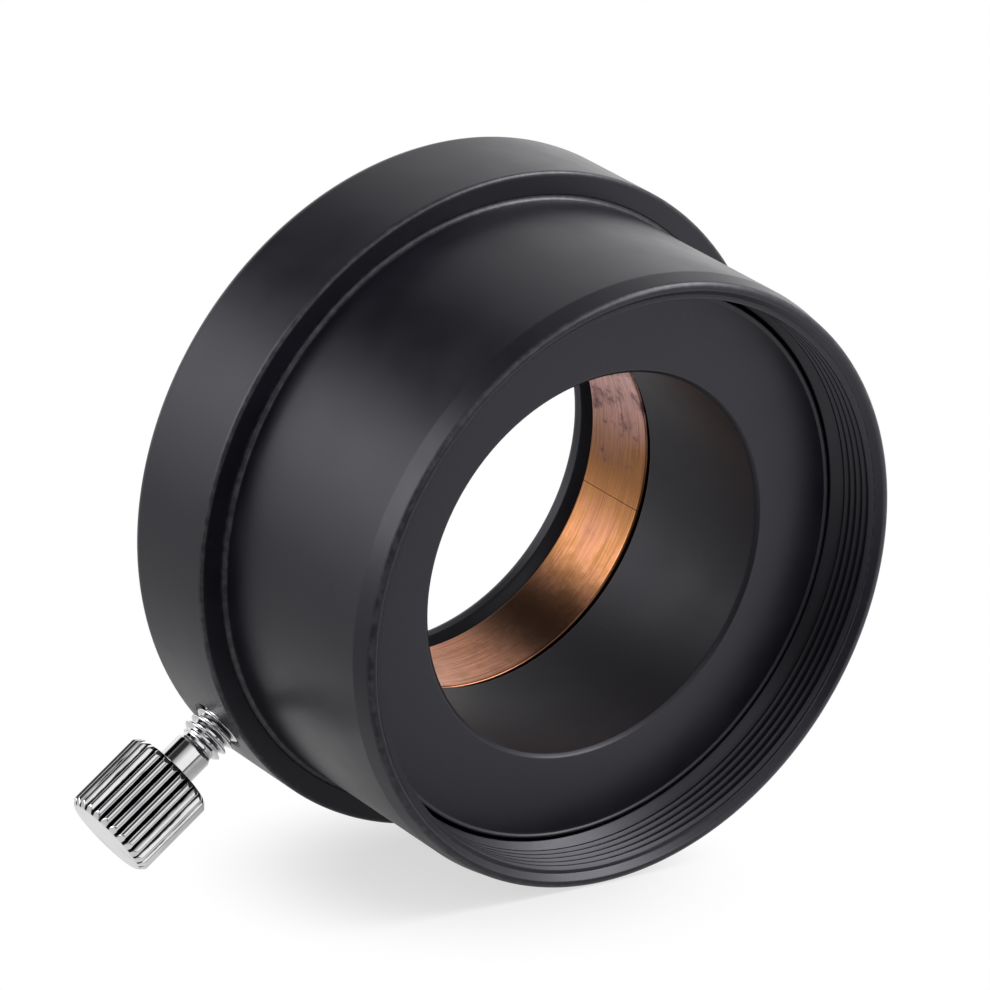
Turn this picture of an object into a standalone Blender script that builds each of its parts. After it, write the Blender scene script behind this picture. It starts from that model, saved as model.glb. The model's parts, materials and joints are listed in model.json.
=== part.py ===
"""Two-inch to 1.25-inch telescope eyepiece adapter with a split brass clamping ring.

Every piece is turned about its own axis. The turning frame of the adapter has +Z along the optical
axis towards the nose, z = 0 on the shoulder that stops the adapter against a focuser, and +X along
the thumb screw, outwards. The finished adapter is then laid on a table as it rests by itself: on the
lead-in edge of its nose, the front edge of its collar and the head of its thumb screw. The origin is
the middle of its box on the table, and the nose points towards -Y.
"""

from math import asin, atan, atan2, cos, hypot, pi, radians, sin

import bmesh
import bpy
from mathutils import Matrix, Vector

MM = 0.001
FULL_TURN = 2.0 * pi

# Clearances between pieces
FIT_GAP = 0.3 * MM
SCREW_GAP = 0.2 * MM

# Nose barrel: the tube that slides into a 2-inch focuser
BARREL_DIAMETER = 50.8 * MM
BARREL_LENGTH = 19.2 * MM
BARREL_WALL = 2.15 * MM
NOSE_TAPER_LENGTH = 1.9 * MM
NOSE_TAPER_DEPTH = 0.33 * MM
NOSE_EDGE_RADIUS = 0.2 * MM

# Filter thread in the nose, a plain bore at the crests of the thread, with a run-out that ends in a cone
NOSE_WALL = 1.75 * MM
FILTER_MOUTH_CHAMFER = 0.4 * MM
FILTER_THREAD_LENGTH = 4.2 * MM
RUN_OUT_DEPTH = 0.45 * MM
RUN_OUT_LENGTH = 0.15 * MM

# Eyepiece holder: a sleeve inside the barrel and a collar behind it
EYEPIECE_BORE = 31.8 * MM
SLEEVE_SETBACK = 5.2 * MM
SLEEVE_CHAMFER = 0.15 * MM
BORE_CHAMFER = 0.3 * MM
SHOULDER_WIDTH = 2.3 * MM
COLLAR_FRONT_BEVEL = 0.3 * MM
COLLAR_REAR_CHAMFER = 1.7 * MM
MOUTH_CHAMFER = 0.65 * MM
BARREL_SEAT_DEPTH = 0.8 * MM
BARREL_SEAT_CHAMFER = 0.2 * MM

# Clamping ring, the groove that holds it and the lip behind the groove
RING_WIDTH = 7.4 * MM
RING_THICKNESS = 1.0 * MM
RING_SETBACK = 0.1 * MM
RING_EDGE_CHAMFER = 0.15 * MM
RING_SIDE_GAP = 0.6 * MM
RING_BACK_GAP = 0.6 * MM
RING_SPLIT = 0.15 * MM
RING_SPLIT_ANGLE = radians(128.8)
GROOVE_SETBACK = 0.1 * MM
REAR_LIP = 2.05 * MM
LIP_CHAMFER = 0.75 * MM

# Thumb screw, drawn back by its shown thread from where its tip meets the ring
SCREW_DIAMETER = 4.0 * MM
SCREW_SHOWN_THREAD = 2.1 * MM
SCREW_TIP_CHAMFER = 0.5 * MM
SCREW_HOLE_CHAMFER = 0.35 * MM
NECK_DIAMETER = 3.3 * MM
NECK_LENGTH = 3.0 * MM
NECK_CHAMFER = 0.3 * MM
HEAD_DIAMETER = 8.0 * MM
HEAD_LENGTH = 7.45 * MM
HEAD_CHAMFER = 0.5 * MM
FLUTE_COUNT = 26
FLUTE_DEPTH = 0.35 * MM
SPIGOT_LENGTH = 4.0 * MM

# Fineness of the turned surfaces
BODY_STEPS = 96
STUD_STEPS = 32
STEPS_PER_FLUTE = 4
ARC_STEPS = 3
WELD_DISTANCE = 0.001 * MM
SMOOTH_ANGLE = radians(35.0)

# Sizes that follow from the ones above
BARREL_RADIUS = BARREL_DIAMETER / 2
BARREL_INNER_RADIUS = BARREL_RADIUS - BARREL_WALL
NOSE_RADIUS = BARREL_RADIUS - NOSE_TAPER_DEPTH
FILTER_RADIUS = BARREL_RADIUS - NOSE_WALL
RUN_OUT_RADIUS = FILTER_RADIUS + RUN_OUT_DEPTH
THREAD_END = BARREL_LENGTH - FILTER_THREAD_LENGTH
RUN_OUT_END = THREAD_END - RUN_OUT_LENGTH
RUN_OUT_CONE_END = RUN_OUT_END - (RUN_OUT_RADIUS - BARREL_INNER_RADIUS)
BORE_RADIUS = EYEPIECE_BORE / 2
SLEEVE_RADIUS = BARREL_INNER_RADIUS - FIT_GAP
SLEEVE_FRONT = BARREL_LENGTH - SLEEVE_SETBACK
SEAT_RADIUS = BARREL_RADIUS + FIT_GAP
COLLAR_RADIUS = BARREL_RADIUS + SHOULDER_WIDTH
RING_INNER_RADIUS = BORE_RADIUS + RING_SETBACK
RING_OUTER_RADIUS = RING_INNER_RADIUS + RING_THICKNESS
GROOVE_RADIUS = RING_OUTER_RADIUS + RING_BACK_GAP
GROOVE_FRONT = -GROOVE_SETBACK
GROOVE_REAR = GROOVE_FRONT - RING_WIDTH - 2 * RING_SIDE_GAP
RING_MIDDLE = (GROOVE_REAR + GROOVE_FRONT) / 2
COLLAR_REAR = GROOVE_REAR - REAR_LIP
SCREW_RADIUS = SCREW_DIAMETER / 2
SCREW_TIP = RING_OUTER_RADIUS + FIT_GAP + SCREW_SHOWN_THREAD
SCREW_THREAD_END = COLLAR_RADIUS + SCREW_SHOWN_THREAD
NECK_RADIUS = NECK_DIAMETER / 2
HEAD_RADIUS = HEAD_DIAMETER / 2
HEAD_INNER_END = SCREW_THREAD_END + NECK_LENGTH
HEAD_OUTER_END = HEAD_INNER_END + HEAD_LENGTH


def arc(centre, radius, start, end):
    """Points of an arc in the (radius, height) half-plane, from one angle to another."""
    angles = [start + (end - start) * step / ARC_STEPS for step in range(ARC_STEPS + 1)]
    return [(centre[0] + radius * cos(angle), centre[1] + radius * sin(angle)) for angle in angles]


def finish(name, colour, roughness, metallic):
    """A material with one Principled BSDF."""
    material = bpy.data.materials.new(name)
    material.use_nodes = True
    shader = material.node_tree.nodes["Principled BSDF"]
    shader.inputs["Base Color"].default_value = (*colour, 1.0)
    shader.inputs["Roughness"].default_value = roughness
    shader.inputs["Metallic"].default_value = metallic
    return material


def empty(name, parent=None):
    """An empty that carries pieces."""
    carrier = bpy.data.objects.new(name, None)
    carrier.parent = parent
    bpy.context.collection.objects.link(carrier)
    return carrier


def turned(outline, steps, split=0.0):
    """A solid turned about Z from an outline of (radius, height) points.

    An outline that starts and ends on the axis makes a full solid, any other one makes a ring. A
    split, in radians, leaves a ring open at angle zero.
    """
    solid = bmesh.new()
    start = Matrix.Rotation(split / 2, 4, "Z")
    section = [solid.verts.new(start @ Vector((radius, 0.0, height))) for radius, height in outline]
    pairs = list(zip(section, section[1:]))
    if outline[0][0] > 0.0:
        pairs.append((section[-1], section[0]))
    edges = [solid.edges.new(pair) for pair in pairs]
    bmesh.ops.spin(
        solid,
        geom=section + edges,
        cent=(0.0, 0.0, 0.0),
        axis=(0.0, 0.0, 1.0),
        angle=FULL_TURN - split,
        steps=steps,
        use_merge=split == 0.0,
    )
    bmesh.ops.remove_doubles(solid, verts=solid.verts, dist=WELD_DISTANCE)
    if split:
        bmesh.ops.holes_fill(solid, edges=[edge for edge in solid.edges if edge.is_boundary], sides=0)
    bmesh.ops.recalc_face_normals(solid, faces=solid.faces)
    return solid


def piece(name, solid, parent, material):
    """A named object from a finished solid, shaded smooth on its round faces."""
    mesh = bpy.data.meshes.new(name)
    solid.to_mesh(mesh)
    solid.free()
    mesh.shade_smooth()
    mesh.set_sharp_from_angle(angle=SMOOTH_ANGLE)
    mesh.materials.append(material)
    shape = bpy.data.objects.new(name, mesh)
    shape.parent = parent
    bpy.context.collection.objects.link(shape)
    return shape


def barrel_outline():
    """The 2-inch tube: lead-in taper, filter bore, run-out and cone, and plain bore over the sleeve."""
    rim_corner = (NOSE_RADIUS - NOSE_EDGE_RADIUS, BARREL_LENGTH - NOSE_EDGE_RADIUS)
    root = FIT_GAP - BARREL_SEAT_DEPTH
    return [
        (FILTER_RADIUS + FILTER_MOUTH_CHAMFER, BARREL_LENGTH),
        *arc(rim_corner, NOSE_EDGE_RADIUS, pi / 2, 0.0),
        (BARREL_RADIUS, BARREL_LENGTH - NOSE_TAPER_LENGTH),
        (BARREL_RADIUS, root),
        (BARREL_INNER_RADIUS, root),
        (BARREL_INNER_RADIUS, RUN_OUT_CONE_END),
        (RUN_OUT_RADIUS, RUN_OUT_END),
        (RUN_OUT_RADIUS, THREAD_END),
        (FILTER_RADIUS, THREAD_END),
        (FILTER_RADIUS, BARREL_LENGTH - FILTER_MOUTH_CHAMFER),
    ]


def holder_outline():
    """The sleeve, the seat of the barrel, the collar, and the bore with its ring groove and rear lip."""
    return [
        (BORE_RADIUS + BORE_CHAMFER, SLEEVE_FRONT),
        (SLEEVE_RADIUS - SLEEVE_CHAMFER, SLEEVE_FRONT),
        (SLEEVE_RADIUS, SLEEVE_FRONT - SLEEVE_CHAMFER),
        (SLEEVE_RADIUS, -BARREL_SEAT_DEPTH),
        (SEAT_RADIUS, -BARREL_SEAT_DEPTH),
        (SEAT_RADIUS, -BARREL_SEAT_CHAMFER),
        (SEAT_RADIUS + BARREL_SEAT_CHAMFER, 0.0),
        (COLLAR_RADIUS - COLLAR_FRONT_BEVEL, 0.0),
        (COLLAR_RADIUS, -COLLAR_FRONT_BEVEL),
        (COLLAR_RADIUS, COLLAR_REAR + COLLAR_REAR_CHAMFER),
        (COLLAR_RADIUS - COLLAR_REAR_CHAMFER, COLLAR_REAR),
        (BORE_RADIUS + MOUTH_CHAMFER, COLLAR_REAR),
        (BORE_RADIUS, COLLAR_REAR + MOUTH_CHAMFER),
        (BORE_RADIUS, GROOVE_REAR - LIP_CHAMFER),
        (BORE_RADIUS + LIP_CHAMFER, GROOVE_REAR),
        (GROOVE_RADIUS, GROOVE_REAR),
        (GROOVE_RADIUS, GROOVE_FRONT),
        (BORE_RADIUS, GROOVE_FRONT),
        (BORE_RADIUS, SLEEVE_FRONT - BORE_CHAMFER),
    ]


def ring_outline():
    """The flat brass strip of the clamping ring, about the ring's own middle."""
    half = RING_WIDTH / 2
    return [
        (RING_INNER_RADIUS + RING_EDGE_CHAMFER, half),
        (RING_OUTER_RADIUS - RING_EDGE_CHAMFER, half),
        (RING_OUTER_RADIUS, half - RING_EDGE_CHAMFER),
        (RING_OUTER_RADIUS, RING_EDGE_CHAMFER - half),
        (RING_OUTER_RADIUS - RING_EDGE_CHAMFER, -half),
        (RING_INNER_RADIUS + RING_EDGE_CHAMFER, -half),
        (RING_INNER_RADIUS, RING_EDGE_CHAMFER - half),
        (RING_INNER_RADIUS, half - RING_EDGE_CHAMFER),
    ]


def stud_outline():
    """The threaded stud from its spigot in the head to its tip, measured out from the optical axis."""
    return [
        (0.0, HEAD_INNER_END + SPIGOT_LENGTH),
        (NECK_RADIUS, HEAD_INNER_END + SPIGOT_LENGTH),
        (NECK_RADIUS, SCREW_THREAD_END + NECK_CHAMFER),
        (NECK_RADIUS - NECK_CHAMFER, SCREW_THREAD_END),
        (SCREW_RADIUS - NECK_CHAMFER, SCREW_THREAD_END),
        (SCREW_RADIUS, SCREW_THREAD_END - NECK_CHAMFER),
        (SCREW_RADIUS, SCREW_TIP + SCREW_TIP_CHAMFER),
        (SCREW_RADIUS - SCREW_TIP_CHAMFER, SCREW_TIP),
        (0.0, SCREW_TIP),
    ]


def head_outline():
    """The head's blank, with the blind bore that takes the stud's spigot."""
    bore_radius = NECK_RADIUS + SCREW_GAP
    bore_end = HEAD_INNER_END + SPIGOT_LENGTH + FIT_GAP
    return [
        (0.0, HEAD_OUTER_END),
        (HEAD_RADIUS - HEAD_CHAMFER, HEAD_OUTER_END),
        (HEAD_RADIUS, HEAD_OUTER_END - HEAD_CHAMFER),
        (HEAD_RADIUS, HEAD_INNER_END + HEAD_CHAMFER),
        (HEAD_RADIUS - HEAD_CHAMFER, HEAD_INNER_END),
        (bore_radius, HEAD_INNER_END),
        (bore_radius, bore_end),
        (0.0, bore_end),
    ]


def hole_outline():
    """The cutter for the screw hole, from inside the ring groove to past the collar."""
    hole_radius = SCREW_RADIUS + SCREW_GAP
    past_collar = COLLAR_RADIUS + SCREW_HOLE_CHAMFER
    return [
        (0.0, past_collar),
        (hole_radius + 2 * SCREW_HOLE_CHAMFER, past_collar),
        (hole_radius, COLLAR_RADIUS - SCREW_HOLE_CHAMFER),
        (hole_radius, RING_OUTER_RADIUS - RING_THICKNESS / 2),
        (0.0, RING_OUTER_RADIUS - RING_THICKNESS / 2),
    ]


def cut_flutes(solid):
    """Sink the head's straight flutes into its full-width band, with a crest at angle zero."""
    for vert in solid.verts:
        radius = hypot(vert.co.x, vert.co.y)
        if radius > HEAD_RADIUS - WELD_DISTANCE:
            wave = (1.0 - cos(FLUTE_COUNT * atan2(vert.co.y, vert.co.x))) / 2
            vert.co.xy *= (radius - FLUTE_DEPTH * wave) / radius


def resting_tilt():
    """How far the nose dips when its lead-in edge and the collar's front edge both touch the table."""
    slopes = [
        (COLLAR_RADIUS - radius) / (height + COLLAR_FRONT_BEVEL)
        for radius, height in barrel_outline()
        if height > 0.0
    ]
    return atan(min(slopes))


def resting_roll(tilt):
    """The thumb screw's angle about the optical axis when its head touches the table too."""
    axis_height = COLLAR_RADIUS * cos(tilt) - (COLLAR_FRONT_BEVEL + RING_MIDDLE) * sin(tilt)
    rims = [
        (HEAD_RADIUS, HEAD_OUTER_END - HEAD_CHAMFER),
        (HEAD_RADIUS - HEAD_CHAMFER, HEAD_OUTER_END),
    ]
    dips = [asin(axis_height / hypot(reach, radius)) - atan2(radius, reach) for radius, reach in rims]
    return pi + asin(sin(min(dips)) / cos(tilt))


def stand_on_table(carrier):
    """Move the carrier so that the origin is the middle of the adapter's box, on the table."""
    bpy.context.view_layer.update()
    graph = bpy.context.evaluated_depsgraph_get()
    corners = []
    for shape in bpy.context.scene.objects:
        if shape.type == "MESH" and not shape.hide_render:
            solid = shape.evaluated_get(graph)
            corners += [solid.matrix_world @ vert.co for vert in solid.data.vertices]
    low = Vector(min(corner[axis] for corner in corners) for axis in range(3))
    high = Vector(max(corner[axis] for corner in corners) for axis in range(3))
    carrier.location = (-(low.x + high.x) / 2, -(low.y + high.y) / 2, -low.z)
    bpy.context.view_layer.update()


def build():
    """Model every piece, then lay the adapter on the table."""
    for old in list(bpy.data.objects):
        bpy.data.objects.remove(old, do_unlink=True)

    holder_black = finish("holder_satin_black", (0.021, 0.021, 0.024), 0.42, 0.0)
    barrel_black = finish("barrel_satin_black", (0.023, 0.023, 0.026), 0.38, 0.0)
    ring_brass = finish("ring_brass", (0.56, 0.25, 0.12), 0.32, 1.0)
    stud_chrome = finish("stud_chrome", (0.78, 0.78, 0.79), 0.12, 1.0)
    head_chrome = finish("head_chrome", (0.80, 0.80, 0.81), 0.12, 1.0)

    optical_axis = empty("optical_axis")
    ring_seat = empty("ring_seat", optical_axis)
    ring_seat.location.z = RING_MIDDLE
    screw_axis = empty("screw_axis", ring_seat)
    screw_axis.rotation_euler.y = pi / 2

    piece("nose_barrel", turned(barrel_outline(), BODY_STEPS), optical_axis, barrel_black)
    holder = piece("eyepiece_holder", turned(holder_outline(), BODY_STEPS), optical_axis, holder_black)

    split = RING_SPLIT / RING_INNER_RADIUS
    ring = piece("compression_ring", turned(ring_outline(), BODY_STEPS, split), ring_seat, ring_brass)
    ring.rotation_euler.z = RING_SPLIT_ANGLE

    piece("thumb_screw_stud", turned(stud_outline(), STUD_STEPS), screw_axis, stud_chrome)
    head = turned(head_outline(), FLUTE_COUNT * STEPS_PER_FLUTE)
    cut_flutes(head)
    piece("thumb_screw_head", head, screw_axis, head_chrome)

    hole = piece("screw_hole_cutter", turned(hole_outline(), STUD_STEPS), screw_axis, holder_black)
    hole.hide_render = True
    hole.display_type = "WIRE"
    cut = holder.modifiers.new("screw_hole", "BOOLEAN")
    cut.operation = "DIFFERENCE"
    cut.solver = "EXACT"
    cut.object = hole

    tilt = resting_tilt()
    optical_axis.rotation_mode = "ZYX"
    optical_axis.rotation_euler = (pi / 2 + tilt, 0.0, resting_roll(tilt))
    stand_on_table(optical_axis)


build()
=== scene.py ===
"""Looks of a two-inch to 1.25-inch telescope eyepiece adapter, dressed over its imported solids.

The adapter is turned work, so each piece is a section spun about an axis, with sizes in millimetres.
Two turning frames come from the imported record. On the optical axis +Z points to the nose, +X points
out along the thumb screw and z = 0 lies on the shoulder. On the screw's axis +Z points outwards and
z = 0 lies on the optical axis. A finished piece has its place in its mesh.
"""

import json
import logging
from dataclasses import dataclass
from enum import Enum
from math import cos, hypot, pi, radians, sin, tan
from typing import Any, Iterable, Mapping, Sequence, Union

import bmesh
import bpy
from mathutils import Matrix, Vector


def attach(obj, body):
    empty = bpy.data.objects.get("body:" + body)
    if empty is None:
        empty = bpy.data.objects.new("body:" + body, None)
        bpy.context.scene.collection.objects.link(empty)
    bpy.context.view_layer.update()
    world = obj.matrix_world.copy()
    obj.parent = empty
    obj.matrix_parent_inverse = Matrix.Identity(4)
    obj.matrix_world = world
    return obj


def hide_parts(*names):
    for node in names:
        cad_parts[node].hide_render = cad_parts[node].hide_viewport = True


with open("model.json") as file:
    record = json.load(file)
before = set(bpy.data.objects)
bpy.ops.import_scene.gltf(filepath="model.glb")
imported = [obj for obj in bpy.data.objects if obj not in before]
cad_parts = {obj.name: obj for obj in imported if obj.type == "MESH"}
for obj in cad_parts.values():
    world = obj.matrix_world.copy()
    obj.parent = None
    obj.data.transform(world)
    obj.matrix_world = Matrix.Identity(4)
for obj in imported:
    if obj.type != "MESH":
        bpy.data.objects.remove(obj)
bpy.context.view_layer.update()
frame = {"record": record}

LOG = logging.getLogger("eyepiece_adapter")

MM = 0.001
FULL_TURN = 2.0 * pi
BODY_STEPS = 320
SCREW_STEPS = 96
FLOOR_STEPS = 96
ROUNDING_SEGMENTS = 4
CREST_SEGMENTS = 2
WELD_DISTANCE = 0.0005
OVERLAP = 0.02
EDGE_WIDTH = 0.12
FLANK_ANGLE = radians(30.0)
HALF_FOOT_SHARE = 7 / 16
SPARE_TURNS = 2.0
SHARP_ANGLE = radians(50.0)
EDGE_ANGLE_LOW = radians(8.0)
EDGE_ANGLE_HIGH = radians(24.0)
EDGE_LAYER = "edge"
GROOVE_LAYER = "groove"

Colour = tuple[float, float, float]
Place = tuple[float, float, float]
Feed = Union[bpy.types.NodeSocket, float, Sequence[float]]


class Body(Enum):
    """The moving bodies of the adapter."""

    ADAPTER = "adapter"
    CLAMP_RING = "clamp_ring"
    SCREW_STUD = "screw_stud"
    SCREW_HEAD = "screw_head"


class Slot(Enum):
    """The record's material slots."""

    HOLDER = "holder_black"
    BARREL = "barrel_black"
    RING = "ring_brass"
    STUD = "stud_chrome"
    HEAD = "head_chrome"


class ThreadSide(Enum):
    """Which way a thread's ridge stands: inwards in a bore, or outwards on a rod."""

    INSIDE = -1
    OUTSIDE = 1


@dataclass(frozen=True)
class TurningFrame:
    """An axis that pieces are turned about.

    Attributes:
        matrix: From millimetres about the axis to metres in the row frame.
    """

    matrix: Matrix

    @classmethod
    def on_axes(cls, origin: Vector, x: Vector, y: Vector, z: Vector) -> "TurningFrame":
        """Make a frame from its origin and its three directions.

        Args:
            origin: The frame's origin in the row frame, in metres.
            x: The direction of +X.
            y: The direction of +Y.
            z: The direction of +Z, along the axis.

        Returns:
            The frame.
        """
        turned = Matrix((x, y, z)).transposed().to_4x4()
        return cls(Matrix.Translation(origin) @ turned @ Matrix.Scale(MM, 4))


@dataclass(frozen=True)
class AdapterAxes:
    """The two turning frames of the adapter."""

    optical: TurningFrame
    screw: TurningFrame

    @classmethod
    def from_record(cls, record: Mapping[str, Any]) -> "AdapterAxes":
        """Read the axes from the shoulder's mount and the thumb screw's joint.

        Args:
            record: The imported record.

        Returns:
            The frames on the optical axis and on the screw's axis.
        """
        shoulder = next(mount for mount in record["mounts"] if mount["name"] == "focuser_shoulder")
        joints = record["behaviour"]["joints"]
        turn = next(joint for joint in joints if joint["name"] == "thumb_screw_turn")
        nose = Vector(shoulder["axis"]).normalized()
        outwards = -Vector(turn["axis"]).normalized()
        side = nose.cross(outwards)
        crossing = Vector(turn["pos_m"])
        shoulder_centre = crossing + nose * nose.dot(Vector(shoulder["pos_m"]) - crossing)
        return cls(
            TurningFrame.on_axes(shoulder_centre, outwards, side, nose),
            TurningFrame.on_axes(crossing, -nose, side, outwards),
        )

    @property
    def crossing_height(self) -> float:
        """Where the screw's axis meets the optical axis, in millimetres from the shoulder."""
        return (self.optical.matrix.inverted() @ self.screw.matrix.translation).z


@dataclass(frozen=True)
class Corner:
    """One corner of a turned section, with the length of its rounding, in millimetres."""

    radius: float
    height: float
    rounding: float = 0.0


def weld(solid: bmesh.types.BMesh) -> None:
    """Merge the doubles of a mesh and point its faces outwards.

    Args:
        solid: The mesh.
    """
    bmesh.ops.remove_doubles(solid, verts=solid.verts, dist=WELD_DISTANCE)
    bmesh.ops.recalc_face_normals(solid, faces=solid.faces)


def close_ends(solid: bmesh.types.BMesh) -> None:
    """Cap the open ends of a mesh.

    Args:
        solid: The mesh.
    """
    bmesh.ops.holes_fill(solid, edges=[edge for edge in solid.edges if edge.is_boundary], sides=0)


def frame_runs(section: bmesh.types.BMesh) -> None:
    """Set a vertex close to both ends of each long run of a section, so that the lightened edges stay
    narrow.

    Args:
        section: The section, as a wire.
    """
    for run in section.edges[:]:
        if run.calc_length() > 3 * EDGE_WIDTH:
            for end in run.verts[:]:
                bmesh.utils.edge_split(run, end, EDGE_WIDTH / run.calc_length())


def round_corners(
    wire: bmesh.types.BMesh, verts: Sequence[bmesh.types.BMVert], offset: float, segments: int
) -> None:
    """Round some corners of a wire.

    Args:
        wire: The wire.
        verts: The vertices at its corners.
        offset: The length of the rounding.
        segments: How many segments make it.
    """
    bmesh.ops.bevel(
        wire,
        geom=verts,
        offset=offset,
        offset_type="OFFSET",
        segments=segments,
        profile=0.5,
        affect="VERTICES",
        material=-1,
        clamp_overlap=True,
    )


def turned(section: Sequence[Corner], steps: int, gap: float = 0.0) -> bmesh.types.BMesh:
    """Spin a section about Z.

    Args:
        section: The corners in order. A section that starts and ends on the axis makes a full solid,
            and any other one closes on itself and makes a ring.
        steps: How many steps go round.
        gap: The angle that a split ring leaves open about +X.

    Returns:
        A closed mesh with its corners rounded.
    """
    solid = bmesh.new()
    start = Matrix.Rotation(gap / 2, 3, "Z")
    verts = [solid.verts.new(start @ Vector((corner.radius, 0.0, corner.height))) for corner in section]
    pairs = list(zip(verts, verts[1:]))
    if section[0].radius > 0.0:
        pairs.append((verts[-1], verts[0]))
    for pair in pairs:
        solid.edges.new(pair)
    for rounding in sorted({corner.rounding for corner in section if corner.rounding}):
        chosen = [vert for vert, corner in zip(verts, section) if corner.rounding == rounding]
        round_corners(solid, chosen, rounding, ROUNDING_SEGMENTS)
    frame_runs(solid)
    bmesh.ops.spin(
        solid,
        geom=solid.verts[:] + solid.edges[:],
        cent=(0.0, 0.0, 0.0),
        axis=(0.0, 0.0, 1.0),
        angle=FULL_TURN - gap,
        steps=steps,
        use_merge=not gap,
    )
    if gap:
        close_ends(solid)
    weld(solid)
    return solid


@dataclass(frozen=True)
class Thread:
    """A right-handed thread of 60 degrees, as a helical ridge on a plain wall.

    Attributes:
        side: Which way the ridge stands.
        pitch: The rise of one turn.
        root_radius: The radius of the wall that the ridge stands on.
        crest_radius: The radius of the ridge's crest.
        low: The height where the thread starts.
        high: The height where the thread ends.
        low_chamfer: The length of the chamfer that thins the thread out at its start.
        high_chamfer: The length of the chamfer that thins the thread out at its end.
        crest_rounding: The rounding of the crest's corners.
        sunk: How deep the ridge's foot lies in the wall.
        steps_per_turn: How many steps make one turn.
    """

    side: ThreadSide
    pitch: float
    root_radius: float
    crest_radius: float
    low: float
    high: float
    low_chamfer: float = 0.0
    high_chamfer: float = 0.0
    crest_rounding: float = 0.04
    sunk: float = 0.05
    steps_per_turn: int = 160

    def ridge(self) -> bmesh.types.BMesh:
        """Spin the ridge's section along its helix, and trim it at both ends.

        Returns:
            A closed mesh of the whole ridge.
        """
        turns = (self.high - self.low) / self.pitch + SPARE_TURNS
        foot_radius = self.root_radius - self.side.value * self.sunk
        flank = tan(FLANK_ANGLE)
        half_foot = self.pitch * HALF_FOOT_SHARE + self.sunk * flank
        half_crest = half_foot - abs(self.crest_radius - foot_radius) * flank
        middle = self.low - self.pitch
        outline = [
            (foot_radius, middle - half_foot),
            (self.crest_radius, middle - half_crest),
            (self.crest_radius, middle + half_crest),
            (foot_radius, middle + half_foot),
        ]
        solid = bmesh.new()
        verts = [solid.verts.new((radius, 0.0, height)) for radius, height in outline]
        for pair in zip(verts, verts[1:] + verts[:1]):
            solid.edges.new(pair)
        round_corners(solid, verts[1:3], self.crest_rounding, CREST_SEGMENTS)
        bmesh.ops.spin(
            solid,
            geom=solid.verts[:] + solid.edges[:],
            cent=(0.0, 0.0, 0.0),
            axis=(0.0, 0.0, 1.0),
            dvec=(0.0, 0.0, self.pitch / self.steps_per_turn),
            angle=FULL_TURN * turns,
            steps=round(turns * self.steps_per_turn),
        )
        for height, outwards in ((self.low, -1.0), (self.high, 1.0)):
            bmesh.ops.bisect_plane(
                solid,
                geom=solid.verts[:] + solid.edges[:] + solid.faces[:],
                dist=WELD_DISTANCE,
                plane_co=(0.0, 0.0, height),
                plane_no=(0.0, 0.0, outwards),
                clear_outer=True,
            )
        close_ends(solid)
        self.thin_out(solid)
        weld(solid)
        return solid

    def thin_out(self, solid: bmesh.types.BMesh) -> None:
        """Press the ridge down to the cones of its chamfers.

        Args:
            solid: The ridge.
        """
        for vert in solid.verts:
            radius = hypot(vert.co.x, vert.co.y)
            below = self.low + self.low_chamfer - vert.co.z
            above = vert.co.z - self.high + self.high_chamfer
            limit = self.crest_radius - self.side.value * max(below, above, 0.0)
            pressed = max(radius, limit) if self.side is ThreadSide.INSIDE else min(radius, limit)
            vert.co.xy *= pressed / radius


def mark_edges(solid: bmesh.types.BMesh) -> None:
    """Store how sharply the surface turns at each vertex, from 0 on open faces to 1 on edges.

    Args:
        solid: The mesh.
    """
    layer = solid.verts.layers.float.new(EDGE_LAYER)
    for vert in solid.verts:
        angle = max(edge.calc_face_angle(0.0) for edge in vert.link_edges)
        share = (angle - EDGE_ANGLE_LOW) / (EDGE_ANGLE_HIGH - EDGE_ANGLE_LOW)
        vert[layer] = min(max(share, 0.0), 1.0)


def add_object(name: str, solid: bmesh.types.BMesh, place: TurningFrame) -> bpy.types.Object:
    """Put a finished mesh in its place in the scene.

    Args:
        name: The object's name.
        solid: The mesh, which is used up.
        place: The frame that the mesh was turned in.

    Returns:
        The object, at the origin, with its place in its mesh.
    """
    bmesh.ops.transform(solid, matrix=place.matrix, verts=solid.verts)
    mesh = bpy.data.meshes.new(name)
    solid.to_mesh(mesh)
    solid.free()
    shape = bpy.data.objects.new(name, mesh)
    bpy.context.scene.collection.objects.link(shape)
    return shape


def cut_away(shape: bpy.types.Object, cutter: bpy.types.Object) -> None:
    """Cut one object out of another, and remove the cutter.

    Args:
        shape: The object that is cut.
        cutter: The object that goes.
    """
    cut = shape.modifiers.new("cut", "BOOLEAN")
    cut.operation = "DIFFERENCE"
    cut.solver = "EXACT"
    cut.object = cutter
    graph = bpy.context.evaluated_depsgraph_get()
    solid = bpy.data.meshes.new_from_object(shape.evaluated_get(graph))
    shape.modifiers.clear()
    shape.data = solid
    bpy.data.objects.remove(cutter, do_unlink=True)


def publish(
    shape: bpy.types.Object,
    material: bpy.types.Material,
    body: Body,
    nodes: Iterable[str] = (),
) -> None:
    """Shade a piece, give it its finish and hang it on its body.

    Args:
        shape: The piece.
        material: Its finish.
        body: The body that it moves with.
        nodes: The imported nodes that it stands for.
    """
    shape.data.materials.clear()
    shape.data.materials.append(material)
    shape.data.shade_smooth()
    shape.data.set_sharp_from_angle(angle=SHARP_ANGLE)
    normals = shape.modifiers.new("face_normals", "WEIGHTED_NORMAL")
    normals.keep_sharp = True
    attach(shape, body.value)
    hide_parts(*nodes)
    LOG.info("%s: %d faces on %s", shape.name, len(shape.data.polygons), body.value)


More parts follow.
